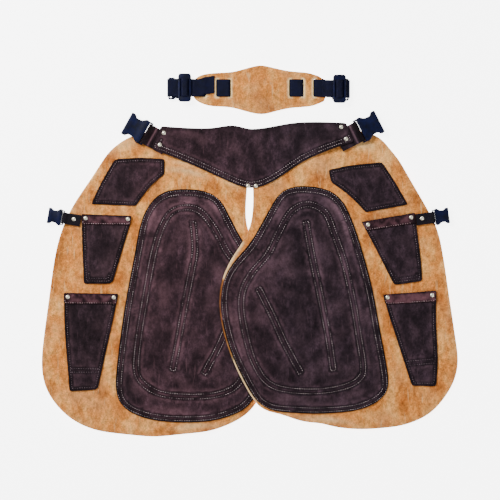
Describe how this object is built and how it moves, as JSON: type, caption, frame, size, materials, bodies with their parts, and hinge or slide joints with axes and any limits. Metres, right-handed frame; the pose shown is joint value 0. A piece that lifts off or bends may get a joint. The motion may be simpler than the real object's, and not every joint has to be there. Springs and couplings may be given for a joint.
{
  "type": "farrier apron with back belt",
  "caption": "Split-leg suede farrier apron laid flat, with padded knee patches, tapered pockets, buckled waist and leg straps, and a slotted back belt pad.",
  "frame": {"origin": "centre of the bounding box in plan, on the surface that the apron lies on", "axes": "+Y towards the waist, +Z out of the garment's front, +X to the right of a viewer who faces it"},
  "size_m": [0.916, 0.818, 0.0161],
  "materials": {
    "tan_suede": "light brown split suede with a short uneven nap",
    "dark_suede": "very dark brown suede with lighter brushed patches",
    "band_suede": "reddish brown suede",
    "black_webbing": "navy-black woven webbing",
    "black_plastic": "navy-black moulded plastic, satin",
    "brass": "pale brass domes"
  },
  "bodies": {
    "apron": {"back_pad": "tan_suede", "back_webbing": "black_webbing", "left_belt_clip": "black_plastic", "left_belt_slider": "black_plastic", "left_hip_patch": "dark_suede", "left_knee_patch": "dark_suede", "left_leg_panel": "tan_suede", "left_leg_strap": "black_webbing", "left_lower_pocket": "dark_suede", "left_lower_pocket_band": "band_suede", "left_upper_pocket": "dark_suede", "left_upper_pocket_band": "band_suede", "left_waist_loop": "dark_suede", "right_belt_clip": "black_plastic", "right_belt_slider": "black_plastic", "right_hip_patch": "dark_suede", "right_knee_patch": "dark_suede", "right_leg_panel": "tan_suede", "right_leg_strap": "black_webbing", "right_lower_pocket": "dark_suede", "right_lower_pocket_band": "band_suede", "right_upper_pocket": "dark_suede", "right_upper_pocket_band": "band_suede", "right_waist_loop": "dark_suede", "rivet_crotch_left": "brass", "rivet_crotch_right": "brass", "rivet_left_lower_pocket_inner": "brass", "rivet_left_lower_pocket_outer": "brass", "rivet_left_upper_pocket_inner": "brass", "rivet_left_upper_pocket_outer": "brass", "rivet_leg_strap_left": "brass", "rivet_leg_strap_right": "brass", "rivet_right_lower_pocket_inner": "brass", "rivet_right_lower_pocket_outer": "brass", "rivet_right_upper_pocket_inner": "brass", "rivet_right_upper_pocket_outer": "brass", "rivet_yoke_left_low": "brass", "rivet_yoke_left_top": "brass", "rivet_yoke_right_low": "brass", "rivet_yoke_right_top": "brass", "waist_yoke": "dark_suede"},
    "left_waist_buckle": {"left_waist_buckle": "black_plastic"},
    "right_waist_buckle": {"right_waist_buckle": "black_plastic"},
    "left_leg_buckle": {"left_leg_buckle": "black_plastic"},
    "right_leg_buckle": {"right_leg_buckle": "black_plastic"}
  },
  "joints": [
    {"name": "left_waist_buckle_swing", "type": "hinge", "parent": "apron", "child": "left_waist_buckle", "pos_m": [-0.226, 0.2565, 0.0074], "axis": [0.4848, 0.8746, 0], "range_deg": [0, 90]},
    {"name": "right_waist_buckle_swing", "type": "hinge", "parent": "apron", "child": "right_waist_buckle", "pos_m": [0.2387, 0.2618, 0.0074], "axis": [0.454, -0.891, 0], "range_deg": [0, 90]},
    {"name": "left_leg_buckle_swing", "type": "hinge", "parent": "apron", "child": "left_leg_buckle", "pos_m": [-0.4094, 0.0726, 0.006], "axis": [0.1736, 0.9848, 0], "range_deg": [0, 90]},
    {"name": "right_leg_buckle_swing", "type": "hinge", "parent": "apron", "child": "right_leg_buckle", "pos_m": [0.4024, 0.0737, 0.006], "axis": [0.1392, -0.9903, 0], "range_deg": [0, 90]}
  ]
}
